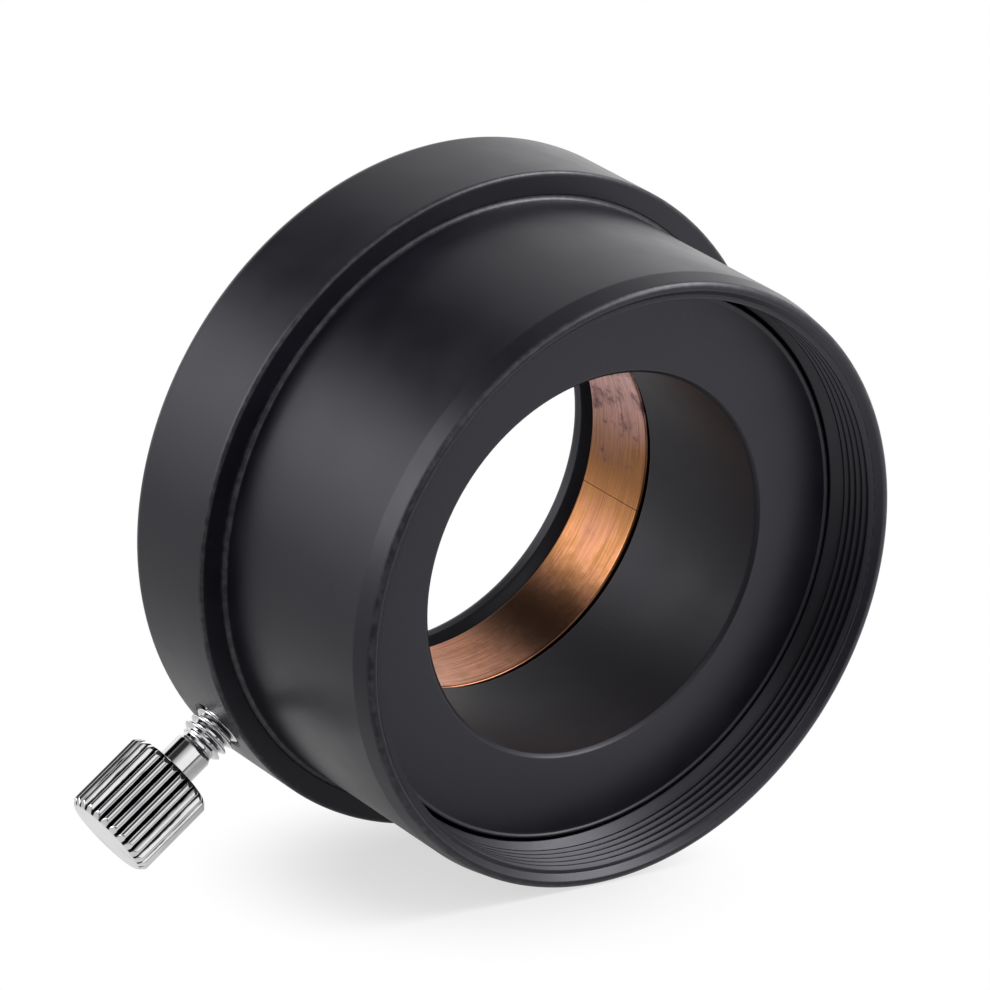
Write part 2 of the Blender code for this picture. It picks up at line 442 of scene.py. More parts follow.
class Bench:
    """Adds and joins nodes in one node tree."""

    def __init__(self, tree: bpy.types.NodeTree) -> None:
        """Take the tree to work on."""
        self.tree = tree

    def feed(self, socket: bpy.types.NodeSocket, value: Feed) -> None:
        """Join an output to an input, or set the input's constant.

        Args:
            socket: The input.
            value: An output socket or a constant.
        """
        if isinstance(value, bpy.types.NodeSocket):
            self.tree.links.new(value, socket)
        else:
            socket.default_value = value

    def node(self, kind: str, inputs: Mapping[Any, Feed], **settings: Any) -> bpy.types.Node:
        """Add a node.

        Args:
            kind: Its type, without the leading ShaderNode.
            inputs: Feeds by the input's name or number.
            **settings: Its own properties.

        Returns:
            The node.
        """
        added = self.tree.nodes.new("ShaderNode" + kind)
        for name, value in settings.items():
            setattr(added, name, value)
        for key, value in inputs.items():
            self.feed(added.inputs[key], value)
        return added

    def maths(self, operation: str, *values: Feed) -> bpy.types.NodeSocket:
        """Work out one value from others, and return its socket."""
        return self.node("Math", dict(enumerate(values)), operation=operation).outputs[0]

    def span(self, value: Feed, low: float, high: float, start: float = 0.0, end: float = 1.0) -> Any:
        """Ease a value over a span.

        Args:
            value: The value.
            low: Where the span starts.
            high: Where the span ends.
            start: The result at its start.
            end: The result at its end.

        Returns:
            The socket of the eased value.
        """
        inputs = {"Value": value, "From Min": low, "From Max": high, "To Min": start, "To Max": end}
        return self.node("MapRange", inputs, interpolation_type="SMOOTHSTEP").outputs["Result"]

    def mix(self, share: Feed, first: Feed, second: Feed) -> bpy.types.NodeSocket:
        """Mix two colours by a share, and return the socket."""
        return self.node("Mix", {0: share, 6: first, 7: second}, data_type="RGBA").outputs[2]

    def dot(self, vector: Feed, direction: Sequence[float]) -> bpy.types.NodeSocket:
        """Measure a vector along a direction, and return the socket."""
        return self.node("VectorMath", {0: vector, 1: direction}, operation="DOT_PRODUCT").outputs["Value"]

    def noise(self, vector: Feed, scale: Feed, detail: float = 2.0, roughness: float = 0.5) -> Any:
        """Add a noise over a vector, and return its socket."""
        inputs = {"Vector": vector, "Scale": scale, "Detail": detail, "Roughness": roughness}
        return self.node("TexNoise", inputs).outputs["Fac"]


@dataclass(frozen=True)
class Band:
    """A span of values over which a mask rises from nothing to its strength."""

    low: float
    high: float
    strength: float = 1.0

    def mask(self, bench: Bench, value: Feed) -> bpy.types.NodeSocket:
        """Ease the mask over a value, and return its socket."""
        return bench.span(value, self.low, self.high, 0.0, self.strength)


class Effects:
    """Node groups that several finishes share. Each is built once, on its first use."""

    BLOTCH_SHARE = 0.03
    SPECK = Band(0.22, 0.10)
    EDGE_PATCHES = Band(0.35, 0.70)
    LEAST_EDGE_SHARE = 0.25

    def __init__(self) -> None:
        """Start with no group."""
        self.made: dict[str, bpy.types.NodeTree] = {}

    def place(self, bench: Bench, name: str, inputs: Mapping[str, Feed]) -> bpy.types.Node:
        """Add a group to a material.

        Args:
            bench: The material's bench.
            name: The name of the group and of the method that builds it.
            inputs: Feeds by the group's input names.

        Returns:
            The group's node.
        """
        if name not in self.made:
            self.made[name] = getattr(self, name)()
        added = bench.tree.nodes.new("ShaderNodeGroup")
        added.node_tree = self.made[name]
        for key, value in inputs.items():
            bench.feed(added.inputs[key], value)
        return added

    @staticmethod
    def start(name: str, inputs: Mapping[str, str], outputs: Iterable[str]) -> tuple[Bench, Any, Any]:
        """Start a group.

        Args:
            name: Its name.
            inputs: Its inputs, as socket types by name.
            outputs: The names of its outputs, which are all values.

        Returns:
            Its bench, its input node and its output node.
        """
        tree = bpy.data.node_groups.new(name, "ShaderNodeTree")
        for socket, kind in inputs.items():
            tree.interface.new_socket(socket, in_out="INPUT", socket_type="NodeSocket" + kind)
        for socket in outputs:
            tree.interface.new_socket(socket, in_out="OUTPUT", socket_type="NodeSocketFloat")
        return Bench(tree), tree.nodes.new("NodeGroupInput"), tree.nodes.new("NodeGroupOutput")

    def lathe_marks(self) -> bpy.types.NodeTree:
        """Fine rings that a turning tool leaves, over radius and height.

        Returns:
            The group, with the outputs Marks and Radius.
        """
        inputs = {"Vector": "Vector", "Density": "Float"}
        bench, given, result = self.start("lathe_marks", inputs, ["Marks", "Radius"])
        place = given.outputs["Vector"]
        flat = bench.node("VectorMath", {0: place, 1: (1.0, 1.0, 0.0)}, operation="MULTIPLY")
        radius = bench.node("VectorMath", {0: flat.outputs["Vector"]}, operation="LENGTH").outputs["Value"]
        height = bench.node("SeparateXYZ", {0: place}).outputs["Z"]
        rings = bench.node("CombineXYZ", {"X": radius, "Y": height}).outputs[0]
        marks = bench.noise(rings, given.outputs["Density"], detail=3.0, roughness=0.65)
        bench.feed(result.inputs["Marks"], marks)
        bench.feed(result.inputs["Radius"], radius)
        return bench.tree

    def satin_grain(self) -> bpy.types.NodeTree:
        """The grain of a blasted or etched surface, with slow blotches under it.

        Returns:
            The group, with the outputs Grain and Blotches.
        """
        inputs = {"Vector": "Vector", "Density": "Float"}
        bench, given, result = self.start("satin_grain", inputs, ["Grain", "Blotches"])
        grain = bench.noise(given.outputs["Vector"], given.outputs["Density"], detail=2.0, roughness=0.6)
        slow = bench.maths("MULTIPLY", given.outputs["Density"], self.BLOTCH_SHARE)
        blotches = bench.noise(given.outputs["Vector"], slow, detail=4.0, roughness=0.6)
        bench.feed(result.inputs["Grain"], grain)
        bench.feed(result.inputs["Blotches"], blotches)
        return bench.tree

    def dust_specks(self) -> bpy.types.NodeTree:
        """Sparse specks of dust.

        Returns:
            The group, with the output Specks.
        """
        inputs = {"Vector": "Vector", "Density": "Float", "Share": "Float"}
        bench, given, result = self.start("dust_specks", inputs, ["Specks"])
        scatter = {"Vector": given.outputs["Vector"], "Scale": given.outputs["Density"]}
        cells = bench.node("TexVoronoi", scatter)
        draw = bench.node("SeparateColor", {0: cells.outputs["Color"]}).outputs["Red"]
        chosen = bench.maths("LESS_THAN", draw, given.outputs["Share"])
        near = self.SPECK.mask(bench, cells.outputs["Distance"])
        bench.feed(result.inputs["Specks"], bench.maths("MULTIPLY", chosen, near))
        return bench.tree

    def edge_wear_and_highlight(self) -> bpy.types.NodeTree:
        """Lighter edges, partly worn and partly a painted highlight, broken up by a noise.

        Returns:
            The group, with the output Wear.
        """
        inputs = {"Edge": "Float", "Vector": "Vector", "Density": "Float"}
        bench, given, result = self.start("edge_wear_and_highlight", inputs, ["Wear"])
        patches = bench.noise(given.outputs["Vector"], given.outputs["Density"], detail=3.0)
        patchy_share = bench.span(patches, self.EDGE_PATCHES.low, self.EDGE_PATCHES.high, self.LEAST_EDGE_SHARE, 1.0)
        bench.feed(result.inputs["Wear"], bench.maths("MULTIPLY", given.outputs["Edge"], patchy_share))
        return bench.tree


def opaque(colour: Colour) -> tuple[float, float, float, float]:
    """Give a colour a full alpha."""
    return (*colour, 1.0)


def start_material(name: str, place: TurningFrame) -> tuple[bpy.types.Material, Bench, Any, Any]:
    """Start a material on coordinates in millimetres about an axis.

    Args:
        name: The material's name.
        place: The frame that the piece was turned in.

    Returns:
        The material, its bench, its Principled BSDF and the socket of the coordinates.
    """
    material = bpy.data.materials.new(name)
    material.use_nodes = True
    bench = Bench(material.node_tree)
    location, rotation, scale = place.matrix.decompose()
    inputs = {
        "Vector": bench.node("TexCoord", {}).outputs["Object"],
        "Location": location,
        "Rotation": rotation.to_euler(),
        "Scale": scale,
    }
    mapped = bench.node("Mapping", inputs, vector_type="TEXTURE")
    return material, bench, material.node_tree.nodes["Principled BSDF"], mapped.outputs["Vector"]


def raise_surface(
    bench: Bench, shader: bpy.types.Node, height: Feed, relief: float, strength: float
) -> None:
    """Give a shader a bump.

    Args:
        bench: The material's bench.
        shader: The Principled BSDF.
        height: The height, from 0 to 1.
        relief: The distance that it stands for, in millimetres.
        strength: How strongly it shows.
    """
    bump = bench.node("Bump", {"Strength": strength, "Distance": relief * MM, "Height": height})
    bench.feed(shader.inputs["Normal"], bump.outputs["Normal"])


@dataclass(frozen=True)
class BlackAnodised:
    """Satin black anodised aluminium, with lathe marks, grain, dust, and lighter edges that are partly
    worn and partly a painted highlight.

    Densities are counts to a millimetre, and the relief is a height in millimetres. Walls inside
    matt_radius, in millimetres from the axis, are rougher.
    """

    name: str
    colour: Colour
    # Lighter colour of the edges: partly worn anodising, partly a painted highlight.
    wear_and_highlight_colour: Colour = (0.050, 0.050, 0.054)
    dust_colour: Colour = (0.10, 0.10, 0.10)
    sheen_tint: Colour = (0.93, 0.91, 1.0)
    roughness: float = 0.36
    marks_density: float = 9.0
    grain_density: float = 7.0
    relief: float = 0.006
    bump_strength: float = 0.45
    blotch: Band = Band(0.3, 0.7)
    blotch_gain: float = 1.35
    blotch_roughness: float = 0.05
    dust_density: float = 2.2
    dust_share: float = 0.05
    dust_strength: float = 0.2
    wear_and_highlight_density: float = 1.5
    wear_and_highlight_polish: float = 0.06
    matt_radius: float = 0.0
    matt_roughness: float = 0.16

    def material(self, place: TurningFrame, effects: Effects) -> bpy.types.Material:
        """Build the material.

        Args:
            place: The frame that the piece was turned in.
            effects: The shared node groups.

        Returns:
            The material.
        """
        material, bench, shader, vector = start_material(self.name, place)
        shader.inputs["Specular Tint"].default_value = opaque(self.sheen_tint)
        marks = effects.place(bench, "lathe_marks", {"Vector": vector, "Density": self.marks_density})
        grain = effects.place(bench, "satin_grain", {"Vector": vector, "Density": self.grain_density})
        scatter = {"Vector": vector, "Density": self.dust_density, "Share": self.dust_share}
        dust = effects.place(bench, "dust_specks", scatter)
        edge = bench.node("Attribute", {}, attribute_name=EDGE_LAYER).outputs["Fac"]
        edge_feeds = {"Edge": edge, "Vector": vector, "Density": self.wear_and_highlight_density}
        wear_and_highlight = effects.place(bench, "edge_wear_and_highlight", edge_feeds)
        blotches = self.blotch.mask(bench, grain.outputs["Blotches"])
        lighter = tuple(self.blotch_gain * part for part in self.colour)
        colour = bench.mix(blotches, opaque(self.colour), opaque(lighter))
        # Edges and fillets get a lighter colour and a smoother finish: partly worn anodising, partly a
        # painted highlight.
        colour = bench.mix(wear_and_highlight.outputs["Wear"], colour, opaque(self.wear_and_highlight_colour))
        speck = bench.maths("MULTIPLY", dust.outputs["Specks"], self.dust_strength)
        bench.feed(shader.inputs["Base Color"], bench.mix(speck, colour, opaque(self.dust_colour)))
        smoothest = self.roughness - self.blotch_roughness / 2
        polish = bench.maths("MULTIPLY_ADD", blotches, self.blotch_roughness, smoothest)
        polish = bench.maths("MULTIPLY_ADD", wear_and_highlight.outputs["Wear"], -self.wear_and_highlight_polish, polish)
        reach = self.matt_radius
        matt = bench.span(marks.outputs["Radius"], reach, reach + EDGE_WIDTH, self.matt_roughness, 0.0)
        bench.feed(shader.inputs["Roughness"], bench.maths("ADD", polish, matt))
        height = bench.maths("ADD", marks.outputs["Marks"], grain.outputs["Grain"])
        raise_surface(bench, shader, height, self.relief, self.bump_strength)
        return material


@dataclass(frozen=True)
class BrushedBrass:
    """Bare brass, brushed around the ring, with patina, a few stains, and a dark patch that is a painted
    reflection.

    Densities are counts to a millimetre, and the relief is a height in millimetres. The masks named top
    and patch run over millimetres: the height above the axis, and the distance from patch_place, which
    patch_scale weighs along each axis. The other masks run over noises, and a rise adds the height to
    them.
    """

    name: str
    gold: Colour = (0.40, 0.175, 0.066)
    copper: Colour = (0.68, 0.30, 0.18)
    rose: Colour = (0.64, 0.36, 0.33)
    brown: Colour = (0.15, 0.062, 0.030)
    stain: Colour = (0.13, 0.055, 0.070)
    # The colour of the dark patch, a painted reflection of something dark beside the ring.
    dark: Colour = (0.085, 0.045, 0.026)
    roughness: float = 0.32
    line_density: float = 11.0
    line_stretch: float = 60.0
    line_roughness: float = 0.16
    line_relief: float = 0.006
    bump_strength: float = 0.4
    tarnish_density: float = 0.30
    stain_density: float = 0.60
    warm: Band = Band(0.54, 0.86)
    warm_rise: float = 0.022
    top: Band = Band(3.0, 11.0)
    top_unevenness: float = 8.0
    patch: Band = Band(8.5, 2.8, 0.85)
    patch_place: Place = (1.2, 15.9, -5.0)
    patch_scale: Place = (1.0, 1.0, 0.3)
    patch_unevenness: float = 4.0
    mottle: Band = Band(0.46, 0.70, 0.45)
    streak: Band = Band(0.40, 0.68, 0.65)
    spot: Band = Band(0.56, 0.72, 0.8)
    spot_rise: float = 0.011
    spot_roughness: float = 0.15

    def material(self, place: TurningFrame, effects: Effects) -> bpy.types.Material:
        """Build the material.

        Args:
            place: The frame that the ring was turned in.
            effects: The shared node groups, which this finish does not use.

        Returns:
            The material.
        """
        material, bench, shader, vector = start_material(self.name, place)
        shader.inputs["Metallic"].default_value = 1.0
        long = 1.0 / self.line_stretch
        stretched = bench.node("VectorMath", {0: vector, 1: (long, long, 1.0)}, operation="MULTIPLY")
        lines = bench.noise(stretched.outputs["Vector"], self.line_density, detail=4.0, roughness=0.7)
        tarnish = bench.noise(vector, self.tarnish_density, detail=6.0, roughness=0.65)
        stains = bench.noise(vector, self.stain_density, detail=8.0, roughness=0.72)
        upwards = place.matrix.to_3x3().normalized().transposed() @ Vector((0.0, 0.0, 1.0))
        raised = bench.dot(vector, upwards)
        scaled = bench.node("VectorMath", {0: vector, 1: self.patch_scale}, operation="MULTIPLY")
        middle = tuple(part * share for part, share in zip(self.patch_place, self.patch_scale))
        away = bench.node("VectorMath", {0: scaled.outputs["Vector"], 1: middle}, operation="DISTANCE")
        warmth = bench.maths("MULTIPLY_ADD", bench.maths("ABSOLUTE", raised), self.warm_rise, tarnish)
        height = bench.maths("MULTIPLY_ADD", tarnish, self.top_unevenness, raised)
        border = bench.maths("MULTIPLY_ADD", stains, self.patch_unevenness, away.outputs["Value"])
        stained = bench.maths("MULTIPLY_ADD", raised, self.spot_rise, stains)
        spots = self.spot.mask(bench, stained)
        colour = opaque(self.gold)
        for mask, layer in (
            (self.warm.mask(bench, warmth), self.copper),
            (self.top.mask(bench, height), self.rose),
            # The dark patch is a painted reflection, fixed to one place on the ring.
            (self.patch.mask(bench, border), self.dark),
            (self.mottle.mask(bench, tarnish), self.brown),
            (self.streak.mask(bench, lines), self.brown),
            (spots, self.stain),
        ):
            colour = bench.mix(mask, colour, opaque(layer))
        bench.feed(shader.inputs["Base Color"], colour)
        smoothest = self.roughness - self.line_roughness / 2
        polish = bench.maths("MULTIPLY_ADD", lines, self.line_roughness, smoothest)
        polish = bench.maths("MULTIPLY_ADD", spots, self.spot_roughness, polish)
        bench.feed(shader.inputs["Roughness"], polish)
        raise_surface(bench, shader, lines, self.line_relief, self.bump_strength)
        return material


@dataclass(frozen=True)
class BrightChrome:
    """Bright plated steel, with faint lathe marks, haze, and painted shade in its grooves.

    Densities are counts to a millimetre, and the relief is a height in millimetres. The haze's mask runs
    over the grain's blotches, and the painted shade's over the depth of the groove, with a noise added.
    """

    name: str
    colour: Colour = (0.82, 0.82, 0.83)
    haze_colour: Colour = (0.66, 0.66, 0.68)
    # The colour of the painted shade in the flutes' grooves.
    groove_shade_colour: Colour = (0.025, 0.025, 0.027)
    roughness: float = 0.05
    marks_density: float = 14.0
    marks_relief: float = 0.003
    bump_strength: float = 0.2
    grain_density: float = 12.0
    haze: Band = Band(0.45, 0.75)
    haze_roughness: float = 0.12
    groove_shade: Band = Band(0.66, 0.86)
    groove_shade_density: float = 0.7
    groove_shade_unevenness: float = 0.5

    def material(self, place: TurningFrame, effects: Effects) -> bpy.types.Material:
        """Build the material.

        Args:
            place: The frame that the piece was turned in.
            effects: The shared node groups.

        Returns:
            The material.
        """
        material, bench, shader, vector = start_material(self.name, place)
        shader.inputs["Metallic"].default_value = 1.0
        marks = effects.place(bench, "lathe_marks", {"Vector": vector, "Density": self.marks_density})
        grain = effects.place(bench, "satin_grain", {"Vector": vector, "Density": self.grain_density})
        haze = self.haze.mask(bench, grain.outputs["Blotches"])
        shade = bench.mix(haze, opaque(self.colour), opaque(self.haze_colour))
        # The grooves between the flutes are darkened in the colour: painted shade, deepest at the groove's
        # bottom and broken up by a noise.
        depth = bench.node("Attribute", {}, attribute_name=GROOVE_LAYER).outputs["Fac"]
        noise = bench.noise(vector, self.groove_shade_density)
        shade_depth = bench.maths("MULTIPLY_ADD", noise, self.groove_shade_unevenness, depth)
        groove_shade = self.groove_shade.mask(bench, shade_depth)
        bench.feed(shader.inputs["Base Color"], bench.mix(groove_shade, shade, opaque(self.groove_shade_colour)))
        polish = bench.maths("MULTIPLY_ADD", haze, self.haze_roughness, self.roughness)
        bench.feed(shader.inputs["Roughness"], polish)
        raise_surface(bench, shader, marks.outputs["Marks"], self.marks_relief, self.bump_strength)
        return material


@dataclass
class NoseBarrel:
    """The two-inch tube, with its lead-in taper and the filter thread in its mouth."""

    radius: float = 25.4
    length: float = 19.2
    wall: float = 2.15
    root: float = -0.5
    root_fillet: float = 0.38
    taper_length: float = 1.9
    taper_depth: float = 0.33
    rim_rounding: float = 0.36
    taper_rounding: float = 0.08
    thread_pitch: float = 0.75
    thread_root_radius: float = 24.0
    thread_crest_radius: float = 23.6
    thread_length: float = 4.2
    thread_end_chamfer: float = 0.12
    mouth_chamfer: float = 0.5
    run_out_radius: float = 24.1
    run_out_length: float = 0.15
    small_rounding: float = 0.06

    def section(self) -> list[Corner]:
        """The tube's section, with a plain wall at the root of the thread.

        Returns:
            The corners, in order.
        """
        nose = self.radius - self.taper_depth
        mouth = self.thread_root_radius + self.mouth_chamfer
        inner = self.radius - self.wall
        thread_end = self.length - self.thread_length
        run_out_end = thread_end - self.run_out_length
        cone_end = run_out_end - (self.run_out_radius - inner)
        foot = self.radius + self.root_fillet
        small = self.small_rounding
        return [
            Corner(mouth, self.length, small),
            Corner(nose, self.length, self.rim_rounding),
            Corner(self.radius, self.length - self.taper_length, self.taper_rounding),
            Corner(self.radius, 0.0, self.root_fillet - OVERLAP),
            Corner(foot, 0.0),
            Corner(foot, self.root),
            Corner(inner, self.root),
            Corner(inner, cone_end, small),
            Corner(self.run_out_radius, run_out_end, small),
            Corner(self.run_out_radius, thread_end),
            Corner(self.thread_root_radius, thread_end),
            Corner(self.thread_root_radius, self.length - self.mouth_chamfer),
        ]

    def thread(self) -> Thread:
        """The filter thread, from its run-out to the mouth."""
        return Thread(
            side=ThreadSide.INSIDE,
            pitch=self.thread_pitch,
            root_radius=self.thread_root_radius,
            crest_radius=self.thread_crest_radius,
            low=self.length - self.thread_length + OVERLAP,
            high=self.length - self.mouth_chamfer + OVERLAP,
            high_chamfer=self.thread_end_chamfer,
        )

    def build(self, axes: AdapterAxes, finish: bpy.types.Material) -> None:
        """Make the tube and its thread.

        Args:
            axes: The adapter's turning frames.
            finish: The black of the tube.
        """
        tube = turned(self.section(), BODY_STEPS)
        mark_edges(tube)
        barrel = add_object("barrel_tube", tube, axes.optical)
        publish(barrel, finish, Body.ADAPTER, ["nose_barrel"])
        thread = add_object("filter_thread", self.thread().ridge(), axes.optical)
        publish(thread, finish, Body.ADAPTER)


@dataclass
class EyepieceHolder:
    """The turned body: sleeve, collar, bore, ring groove and tapped hole."""

    bore_radius: float = 15.9
    sleeve_radius: float = 22.95
    sleeve_front: float = 14.0
    face_rim_height: float = 0.12
    face_rim_width: float = 0.3
    bore_chamfer: float = 0.3
    seat_radius: float = 25.8
    seat_depth: float = 0.8
    collar_radius: float = 27.7
    collar_length: float = 10.75
    collar_front_rounding: float = 0.3
    collar_rear_chamfer: float = 1.7
    rear_rounding: float = 0.35
    mouth_rounding: float = 0.65
    groove_radius: float = 17.6
    groove_front: float = -0.1
    groove_rear: float = -8.7
    lip_chamfer: float = 0.75
    small_rounding: float = 0.06
    hole_radius: float = 2.2
    hole_chamfer: float = 0.35
    hole_reach: float = 1.0

    def section(self) -> list[Corner]:
        """The body's section.

        Returns:
            The corners, in order.
        """
        rear = -self.collar_length
        rim_top = self.sleeve_front + self.face_rim_height
        rim_start = self.sleeve_radius - self.face_rim_width + self.face_rim_height
        small = self.small_rounding
        return [
            Corner(self.bore_radius + self.bore_chamfer, self.sleeve_front, small),
            Corner(self.sleeve_radius - self.face_rim_width, self.sleeve_front, small),
            Corner(rim_start, rim_top, small),
            Corner(self.sleeve_radius, rim_top, small),
            Corner(self.sleeve_radius, -self.seat_depth),
            Corner(self.seat_radius, -self.seat_depth),
            Corner(self.seat_radius, 0.0, small),
            Corner(self.collar_radius, 0.0, self.collar_front_rounding),
            Corner(self.collar_radius, rear + self.collar_rear_chamfer, self.rear_rounding),
            Corner(self.collar_radius - self.collar_rear_chamfer, rear, self.rear_rounding),
            Corner(self.bore_radius, rear, self.mouth_rounding),
            Corner(self.bore_radius, self.groove_rear - self.lip_chamfer, small),
            Corner(self.bore_radius + self.lip_chamfer, self.groove_rear, small),
            Corner(self.groove_radius, self.groove_rear),
            Corner(self.groove_radius, self.groove_front),
            Corner(self.bore_radius, self.groove_front, small),
            Corner(self.bore_radius, self.sleeve_front - self.bore_chamfer, small),
        ]

    def hole_section(self) -> list[Corner]:
        """The section of the cutter for the screw's hole, with its countersink.

        Returns:
            The corners, in order, measured out from the optical axis.
        """
        past_collar = self.collar_radius + self.hole_chamfer
        inside_groove = self.groove_radius - self.hole_reach
        return [
            Corner(0.0, past_collar),
            Corner(self.hole_radius + 2 * self.hole_chamfer, past_collar),
            Corner(self.hole_radius, self.collar_radius - self.hole_chamfer),
            Corner(self.hole_radius, inside_groove),
            Corner(0.0, inside_groove),
        ]

    def build(self, axes: AdapterAxes, finish: bpy.types.Material) -> None:
        """Make the body.

        Args:
            axes: The adapter's turning frames.
            finish: The black of the body.
        """
        solid = turned(self.section(), BODY_STEPS)
        mark_edges(solid)
        body = add_object("holder_body", solid, axes.optical)
        cutter = add_object("hole_cutter", turned(self.hole_section(), SCREW_STEPS), axes.screw)
        cut_away(body, cutter)
        publish(body, finish, Body.ADAPTER, ["eyepiece_holder"])


@dataclass
class ClampRing:
    """The split brass ring in the groove of the bore."""

    inner_radius: float = 16.0
    thickness: float = 1.0
    width: float = 7.4
    split: float = 0.05
    split_angle: float = radians(128.8)
    edge_rounding: float = 0.18

    def section(self, middle: float) -> list[Corner]:
        """The ring's section.

        Args:
            middle: The height of the ring's middle.

        Returns:
            The corners, in order.
        """
        outer = self.inner_radius + self.thickness
        half = self.width / 2
        return [
            Corner(self.inner_radius, middle + half, self.edge_rounding),
            Corner(outer, middle + half, self.edge_rounding),
            Corner(outer, middle - half, self.edge_rounding),
            Corner(self.inner_radius, middle - half, self.edge_rounding),
        ]

    def build(self, axes: AdapterAxes, finish: bpy.types.Material) -> None:
        """Make the ring.

        Args:
            axes: The adapter's turning frames.
            finish: The brass.
        """
        ring = turned(self.section(axes.crossing_height), BODY_STEPS, self.split / self.inner_radius)
        bmesh.ops.rotate(ring, verts=ring.verts, matrix=Matrix.Rotation(self.split_angle, 3, "Z"))
        brass = add_object("brass_ring", ring, axes.optical)
        publish(brass, finish, Body.CLAMP_RING, ["compression_ring"])


@dataclass
class ThumbScrew:
    """The thumb screw: threaded shank, plain neck and fluted head."""

    tip: float = 19.4
    tip_chamfer: float = 0.5
    thread_end: float = 29.8
    thread_pitch: float = 0.7
    thread_radius: float = 2.0
    thread_root_radius: float = 1.57
    thread_end_chamfer: float = 0.3
    thread_steps: int = 64
    root_relief: float = 0.1
    neck_radius: float = 1.65
    neck_length: float = 3.0
    neck_undercut: float = 0.3
    neck_rounding: float = 0.15
    small_rounding: float = 0.05
    head_radius: float = 4.0
    head_length: float = 7.45
    head_chamfer: float = 0.5
    head_rounding: float = 0.12
    socket_depth: float = 4.0
    socket_gap: float = 0.2
    flute_count: int = 26
    flute_depth: float = 0.48
    steps_per_flute: int = 14

    @property
    def head_start(self) -> float:
        """Where the head starts."""
        return self.thread_end + self.neck_length

    def shank_section(self) -> list[Corner]:
        """The section of the shank, plain at the root of its thread.

        Returns:
            The corners, in order, from the head to the tip.
        """
        end = self.head_start + self.socket_depth
        waist = self.thread_root_radius - self.root_relief
        small = self.small_rounding
        return [
            Corner(0.0, end),
            Corner(self.neck_radius, end),
            Corner(self.neck_radius, self.thread_end + 2 * self.neck_undercut, self.neck_rounding),
            Corner(waist, self.thread_end + self.neck_undercut, small),
            Corner(waist, self.thread_end, small),
            Corner(self.thread_root_radius, self.thread_end - self.root_relief),
            Corner(self.thread_root_radius, self.tip + self.root_relief),
            Corner(waist, self.tip, small),
            Corner(0.0, self.tip),
        ]

    def thread(self) -> Thread:
        """The shank's thread, thinned out at both ends."""
        return Thread(
            side=ThreadSide.OUTSIDE,
            pitch=self.thread_pitch,
            root_radius=self.thread_root_radius,
            crest_radius=self.thread_radius,
            low=self.tip + self.root_relief,
            high=self.thread_end - OVERLAP,
            low_chamfer=self.tip_chamfer,
            high_chamfer=self.thread_end_chamfer,
            steps_per_turn=self.thread_steps,
        )

    def head_section(self) -> list[Corner]:
        """The section of the head's blank, with its socket for the shank.

        Returns:
            The corners, in order, from the outer face to the socket's floor.
        """
        start = self.head_start
        end = start + self.head_length
        narrow = self.head_radius - self.head_chamfer
        socket = self.neck_radius + self.socket_gap
        floor = start + self.socket_depth + self.socket_gap
        return [
            Corner(0.0, end),
            Corner(narrow, end, self.head_rounding),
            Corner(self.head_radius, end - self.head_chamfer, self.head_rounding),
            Corner(self.head_radius, start + self.head_chamfer, self.head_rounding),
            Corner(narrow, start, self.head_rounding),
            Corner(socket, start),
            Corner(socket, floor),
            Corner(0.0, floor),
        ]

    def cut_flutes(self, head: bmesh.types.BMesh) -> None:
        """Sink straight flutes into the head, with round crests and sharp grooves, and store their depth.

        Args:
            head: The head's blank.
        """
        layer = head.verts.layers.float.new(GROOVE_LAYER)
        for vert in head.verts:
            radius = hypot(vert.co.x, vert.co.y)
            if radius < self.head_radius - self.flute_depth:
                continue
            turn = Vector((1.0, 0.0)).angle_signed(vert.co.xy, 0.0)
            groove = 1.0 - abs(cos(self.flute_count * turn / 2))
            vert[layer] = groove
            vert.co.xy *= min(radius, self.head_radius - self.flute_depth * groove) / radius

    def build(
        self, axes: AdapterAxes, shank_finish: bpy.types.Material, head_finish: bpy.types.Material
    ) -> None:
        """Make the shank, its thread and the head.

        Args:
            axes: The adapter's turning frames.
            shank_finish: The chrome of the shank.
            head_finish: The chrome of the head.
        """
        shank = add_object("screw_shank", turned(self.shank_section(), SCREW_STEPS), axes.screw)
        publish(shank, shank_finish, Body.SCREW_STUD, ["thumb_screw_stud"])
        thread = add_object("screw_thread", self.thread().ridge(), axes.screw)
        publish(thread, shank_finish, Body.SCREW_STUD)
        head = turned(self.head_section(), self.flute_count * self.steps_per_flute)
        self.cut_flutes(head)
        knob = add_object("screw_knob", head, axes.screw)
        publish(knob, head_finish, Body.SCREW_HEAD, ["thumb_screw_head"])


@dataclass(frozen=True)
class Patch:
    """A round patch of the room, as mirrored in the adapter.

    Attributes:
        middle: The direction of its middle.
        inner: The angle from the middle where it starts to fade, in degrees.
        outer: The angle where it has faded, in degrees.
        level: Its level at the middle.
    """

    middle: Place
    inner: float
    outer: float
    level: float

    def fade(self, bench: Bench, direction: Feed, around: float) -> bpy.types.NodeSocket:
        """Ease from a level around the patch to its own, and return the socket."""
        nearness = bench.dot(direction, Vector(self.middle).normalized())
        return bench.span(nearness, cos(radians(self.outer)), cos(radians(self.inner)), around, self.level)


